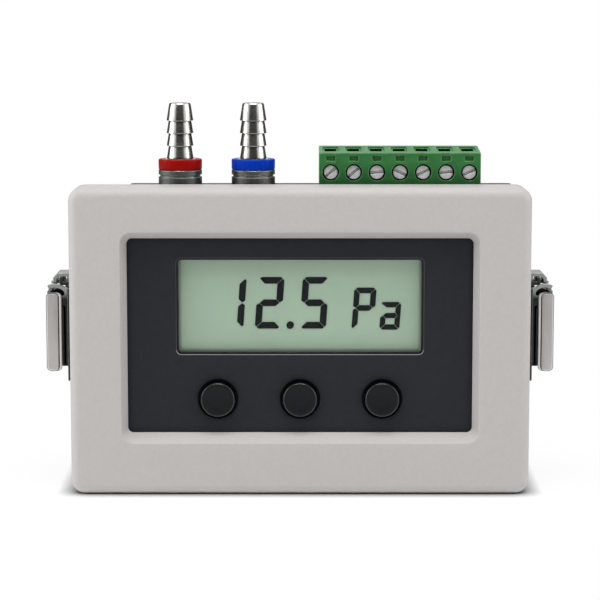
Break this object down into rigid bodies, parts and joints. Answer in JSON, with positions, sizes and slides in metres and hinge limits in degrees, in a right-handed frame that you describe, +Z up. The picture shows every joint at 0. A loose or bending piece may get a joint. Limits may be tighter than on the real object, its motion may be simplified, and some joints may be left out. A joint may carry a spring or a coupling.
{
  "type": "differential pressure gauge",
  "caption": "Differential pressure gauge in a latched wall case with a display, push buttons, barbed hose fittings and a plug-in screw terminal.",
  "frame": {"origin": "under the middle of the gauge, on the plane of its lower faces", "axes": "+X to the right as seen from the front, +Y from the face to the wall, +Z up"},
  "size_m": [0.1124, 0.036, 0.0846],
  "materials": {
    "case_abs": "fine moulded texture, warm light grey",
    "housing_abs": "fine moulded texture, charcoal",
    "panel_abs": "satin charcoal",
    "window_clear": "clear pane",
    "lcd_face": "reflective grey-green display",
    "light_guide": "milky",
    "zebra_silicone": "striped elastomer",
    "seal_rubber": "black seal",
    "screw_steel": "zinc plated",
    "chip_black": "moulded black",
    "circuit_board": "solder mask green",
    "tube_silicone": "translucent silicone",
    "fitting_nickel": "bright nickel, turned",
    "ring_red": "red anodised look",
    "ring_blue": "blue anodised look",
    "plate_black": "black",
    "header_green": "dark green polyamide",
    "plug_green": "green polyamide",
    "contact_metal": "tinned brass",
    "clamp_steel": "zinc plated, slotted",
    "yoke_steel": "bent sheet steel",
    "latch_steel": "pressed stainless sheet",
    "latch_base_steel": "pressed stainless sheet, darker",
    "button_black": "satin black"
  },
  "bodies": {
    "root": {"front_bezel": "case_abs", "rear_housing": "housing_abs", "case_gasket": "seal_rubber", "case_screws": "screw_steel", "face_panel": "panel_abs", "display_window": "window_clear", "lcd_glass": "lcd_face", "lcd_backlight": "light_guide", "lcd_frame": "panel_abs", "zebra_strips": "zebra_silicone", "switch_bodies": "chip_black", "main_board": "circuit_board", "board_screws": "screw_steel", "board_chips": "chip_black", "pressure_sensor": "chip_black", "tube_positive": "tube_silicone", "tube_negative": "tube_silicone", "fitting_positive": "fitting_nickel", "fitting_negative": "fitting_nickel", "ring_positive": "ring_red", "ring_negative": "ring_blue", "fitting_seals": "seal_rubber", "fitting_nuts": "fitting_nickel", "connector_plate": "plate_black", "connector_board": "circuit_board", "terminal_header": "header_green", "header_pins": "contact_metal", "mounting_yoke": "yoke_steel", "latch_bases": "latch_base_steel", "lever_rivets": "latch_steel", "keepers": "latch_base_steel", "keeper_rivets": "latch_steel"},
    "button_left": {"button_left": "button_black", "switch_plunger_left": "chip_black"},
    "button_centre": {"button_centre": "button_black", "switch_plunger_centre": "chip_black"},
    "button_right": {"button_right": "button_black", "switch_plunger_right": "chip_black"},
    "plug": {"terminal_plug": "plug_green", "plug_contacts": "contact_metal"},
    "clamp_screw_1": {"clamp_screw_1": "clamp_steel"},
    "wire_cage_1": {"wire_cage_1": "contact_metal"},
    "clamp_screw_2": {"clamp_screw_2": "clamp_steel"},
    "wire_cage_2": {"wire_cage_2": "contact_metal"},
    "clamp_screw_3": {"clamp_screw_3": "clamp_steel"},
    "wire_cage_3": {"wire_cage_3": "contact_metal"},
    "clamp_screw_4": {"clamp_screw_4": "clamp_steel"},
    "wire_cage_4": {"wire_cage_4": "contact_metal"},
    "clamp_screw_5": {"clamp_screw_5": "clamp_steel"},
    "wire_cage_5": {"wire_cage_5": "contact_metal"},
    "clamp_screw_6": {"clamp_screw_6": "clamp_steel"},
    "wire_cage_6": {"wire_cage_6": "contact_metal"},
    "clamp_screw_7": {"clamp_screw_7": "clamp_steel"},
    "wire_cage_7": {"wire_cage_7": "contact_metal"},
    "lever_left": {"latch_lever_left": "latch_steel", "claw_pin_left": "latch_steel"},
    "claw_left": {"latch_claw_left": "latch_steel"},
    "lever_right": {"latch_lever_right": "latch_steel", "claw_pin_right": "latch_steel"},
    "claw_right": {"latch_claw_right": "latch_steel"}
  },
  "joints": [
    {"name": "press_button_left", "type": "slide", "parent": "root", "child": "button_left", "axis": [0, 1, 0], "range_m": [0, 0.0006], "stiffness_N_per_m": 1200, "springref_m": -0.0003},
    {"name": "press_button_centre", "type": "slide", "parent": "root", "child": "button_centre", "axis": [0, 1, 0], "range_m": [0, 0.0006], "stiffness_N_per_m": 1200, "springref_m": -0.0003},
    {"name": "press_button_right", "type": "slide", "parent": "root", "child": "button_right", "axis": [0, 1, 0], "range_m": [0, 0.0006], "stiffness_N_per_m": 1200, "springref_m": -0.0003},
    {"name": "plug_pull", "type": "slide", "parent": "root", "child": "plug", "axis": [0, 0, 1], "range_m": [0, 0.01]},
    {"name": "clamp_turn_1", "type": "hinge", "parent": "plug", "child": "clamp_screw_1", "pos_m": [0.00676, -0.004, 0.06944], "axis": [0, 1, 0], "range_deg": [0, 1440]},
    {"name": "cage_slide_1", "type": "slide", "parent": "plug", "child": "wire_cage_1", "axis": [0, -1, 0], "range_m": [0, 0.0018]},
    {"name": "clamp_turn_2", "type": "hinge", "parent": "plug", "child": "clamp_screw_2", "pos_m": [0.01184, -0.004, 0.06944], "axis": [0, 1, 0], "range_deg": [0, 1440]},
    {"name": "cage_slide_2", "type": "slide", "parent": "plug", "child": "wire_cage_2", "axis": [0, -1, 0], "range_m": [0, 0.0018]},
    {"name": "clamp_turn_3", "type": "hinge", "parent": "plug", "child": "clamp_screw_3", "pos_m": [0.01692, -0.004, 0.06944], "axis": [0, 1, 0], "range_deg": [0, 1440]},
    {"name": "cage_slide_3", "type": "slide", "parent": "plug", "child": "wire_cage_3", "axis": [0, -1, 0], "range_m": [0, 0.0018]},
    {"name": "clamp_turn_4", "type": "hinge", "parent": "plug", "child": "clamp_screw_4", "pos_m": [0.022, -0.004, 0.06944], "axis": [0, 1, 0], "range_deg": [0, 1440]},
    {"name": "cage_slide_4", "type": "slide", "parent": "plug", "child": "wire_cage_4", "axis": [0, -1, 0], "range_m": [0, 0.0018]},
    {"name": "clamp_turn_5", "type": "hinge", "parent": "plug", "child": "clamp_screw_5", "pos_m": [0.02708, -0.004, 0.06944], "axis": [0, 1, 0], "range_deg": [0, 1440]},
    {"name": "cage_slide_5", "type": "slide", "parent": "plug", "child": "wire_cage_5", "axis": [0, -1, 0], "range_m": [0, 0.0018]},
    {"name": "clamp_turn_6", "type": "hinge", "parent": "plug", "child": "clamp_screw_6", "pos_m": [0.03216, -0.004, 0.06944], "axis": [0, 1, 0], "range_deg": [0, 1440]},
    {"name": "cage_slide_6", "type": "slide", "parent": "plug", "child": "wire_cage_6", "axis": [0, -1, 0], "range_m": [0, 0.0018]},
    {"name": "clamp_turn_7", "type": "hinge", "parent": "plug", "child": "clamp_screw_7", "pos_m": [0.03724, -0.004, 0.06944], "axis": [0, 1, 0], "range_deg": [0, 1440]},
    {"name": "cage_slide_7", "type": "slide", "parent": "plug", "child": "wire_cage_7", "axis": [0, -1, 0], "range_m": [0, 0.0018]},
    {"name": "lever_swing_left", "type": "hinge", "parent": "root", "child": "lever_left", "pos_m": [-0.0543, -0.00125, 0.0412], "axis": [0, 1, 0], "range_deg": [0, 90]},
    {"name": "claw_swing_left", "type": "hinge", "parent": "lever_left", "child": "claw_left", "pos_m": [-0.0542, -0.00125, 0.0387], "axis": [0, 1, 0], "range_deg": [-72, 0]},
    {"name": "lever_swing_right", "type": "hinge", "parent": "root", "child": "lever_right", "pos_m": [0.0543, -0.00125, 0.0412], "axis": [0, -1, 0], "range_deg": [0, 90]},
    {"name": "claw_swing_right", "type": "hinge", "parent": "lever_right", "child": "claw_right", "pos_m": [0.0542, -0.00125, 0.0387], "axis": [0, -1, 0], "range_deg": [-72, 0]}
  ],
  "couplings": [
    {"joint": "clamp_turn_1", "follows": "cage_slide_1", "rad_per_m": 13963},
    {"joint": "clamp_turn_2", "follows": "cage_slide_2", "rad_per_m": 13963},
    {"joint": "clamp_turn_3", "follows": "cage_slide_3", "rad_per_m": 13963},
    {"joint": "clamp_turn_4", "follows": "cage_slide_4", "rad_per_m": 13963},
    {"joint": "clamp_turn_5", "follows": "cage_slide_5", "rad_per_m": 13963},
    {"joint": "clamp_turn_6", "follows": "cage_slide_6", "rad_per_m": 13963},
    {"joint": "clamp_turn_7", "follows": "cage_slide_7", "rad_per_m": 13963},
    {"joint": "claw_swing_left", "follows": "lever_swing_left", "ratio": -0.8},
    {"joint": "claw_swing_right", "follows": "lever_swing_right", "ratio": -0.8}
  ]
}
